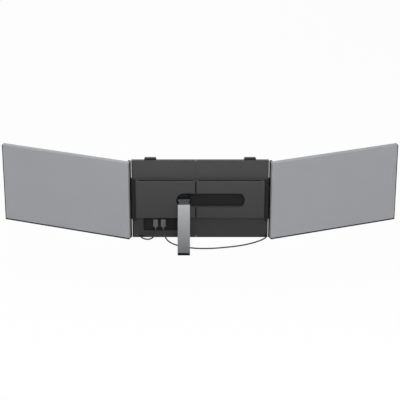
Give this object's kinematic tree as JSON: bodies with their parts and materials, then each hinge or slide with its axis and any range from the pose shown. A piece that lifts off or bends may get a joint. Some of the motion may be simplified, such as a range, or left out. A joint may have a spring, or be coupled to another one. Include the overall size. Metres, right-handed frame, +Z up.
{
  "type": "laptop screen extender",
  "caption": "Side screens hinged to a telescoping back plate that clips on a laptop's lid, with a kickstand that swivels and folds, a port bay and captive leads.",
  "frame": {"origin": "on the back plate's bottom edge, in the middle of its closed width and of its thickness", "axes": "+X to the right as seen from behind, +Y towards the side the screens face, +Z up"},
  "size_m": [0.9248, 0.2076, 0.1978],
  "materials": {
    "plate_shell": "fine satin texture",
    "dark_plastic": "satin",
    "black_plastic": "matt",
    "hinge_metal": "satin black",
    "steel": "brushed",
    "soft_rubber": "matte",
    "screen_cover": "fine silver-grey lacquer, satin",
    "screen_bezel": "satin",
    "screen_glass": "dark and smooth, switched off",
    "circuit_board": "green solder mask",
    "plug_plastic": "satin",
    "lead_jacket": "soft satin",
    "leg_shell": "silver-grey lacquer, satin",
    "leg_head": "satin"
  },
  "bodies": {
    "left_frame": {"left_back_plate": "plate_shell", "left_housing": "plate_shell", "left_front_cover": "dark_plastic", "left_cover_screws": "steel", "left_hinge_bracket": "hinge_metal", "left_hinge_pins": "steel", "left_lid_pads": "soft_rubber", "left_lead_grommet": "soft_rubber", "left_vent": "black_plastic", "port_bay_liner": "black_plastic", "slide_tray": "dark_plastic", "slot_floor": "black_plastic", "hub_board": "circuit_board", "usb_c_sockets": "steel", "mini_hdmi_socket": "steel", "stand_pivot": "hinge_metal", "stand_washer": "steel", "left_plug": "plug_plastic", "right_plug": "plug_plastic", "left_lead": "lead_jacket", "right_lead": "lead_jacket"},
    "right_frame": {"right_back_plate": "plate_shell", "right_housing": "plate_shell", "right_front_cover": "dark_plastic", "right_cover_screws": "steel", "right_hinge_bracket": "hinge_metal", "right_hinge_pins": "steel", "right_lid_pads": "soft_rubber", "right_lead_grommet": "soft_rubber", "right_vent": "black_plastic"},
    "stand_swivel": {"swivel_disc": "dark_plastic", "leg_yoke": "leg_head", "leg_pin": "steel"},
    "stand_leg": {"leg": "leg_shell", "leg_head": "leg_head", "leg_foot": "soft_rubber"},
    "left_lid_clip": {"left_clip": "dark_plastic", "left_clip_pad": "soft_rubber"},
    "right_lid_clip": {"right_clip": "dark_plastic", "right_clip_pad": "soft_rubber"},
    "left_screen": {"left_screen_cover": "screen_cover", "left_screen_frame": "screen_bezel", "left_screen_panel": "screen_glass", "left_driver_board": "circuit_board", "left_hinge_spine": "screen_bezel", "left_hinge_leaves": "hinge_metal"},
    "right_screen": {"right_screen_cover": "screen_cover", "right_screen_frame": "screen_bezel", "right_screen_panel": "screen_glass", "right_driver_board": "circuit_board", "right_hinge_spine": "screen_bezel", "right_hinge_leaves": "hinge_metal"},
    "left_key": {"left_menu_key": "screen_bezel"},
    "right_key": {"right_menu_key": "screen_bezel"}
  },
  "joints": [
    {"name": "frame_slide", "type": "slide", "parent": "left_frame", "child": "right_frame", "axis": [1, 0, 0], "range_m": [0, 0.035], "deforming": ["right_lead"]},
    {"name": "left_screen_hinge", "type": "hinge", "parent": "left_frame", "child": "left_screen", "pos_m": [-0.1565, 0.0027, 0.0945], "axis": [0, 0, 1], "range_deg": [-159.3, 20.7]},
    {"name": "right_screen_hinge", "type": "hinge", "parent": "right_frame", "child": "right_screen", "pos_m": [0.1565, 0.0027, 0.0945], "axis": [0, 0, 1], "range_deg": [-20.7, 159.3]},
    {"name": "stand_swivel", "type": "hinge", "parent": "left_frame", "child": "stand_swivel", "pos_m": [-0.0371, -0.0063, 0.0984], "axis": [0, -1, 0], "range_deg": [0, 90]},
    {"name": "stand_tilt", "type": "hinge", "parent": "stand_swivel", "child": "stand_leg", "pos_m": [-0.0371, -0.01152, 0.097], "axis": [1, 0, 0], "range_deg": [0, 41]},
    {"name": "left_clip_slide", "type": "slide", "parent": "left_frame", "child": "left_lid_clip", "axis": [0, 0, 1], "range_m": [0, 0.025]},
    {"name": "right_clip_slide", "type": "slide", "parent": "right_frame", "child": "right_lid_clip", "axis": [0, 0, 1], "range_m": [0, 0.025]},
    {"name": "left_key_press", "type": "slide", "parent": "left_screen", "child": "left_key", "axis": [0.9354, -0.3535, 0], "range_m": [0, 0.0005], "stiffness_N_per_m": 600},
    {"name": "right_key_press", "type": "slide", "parent": "right_screen", "child": "right_key", "axis": [-0.9354, -0.3535, 0], "range_m": [0, 0.0005], "stiffness_N_per_m": 600}
  ]
}
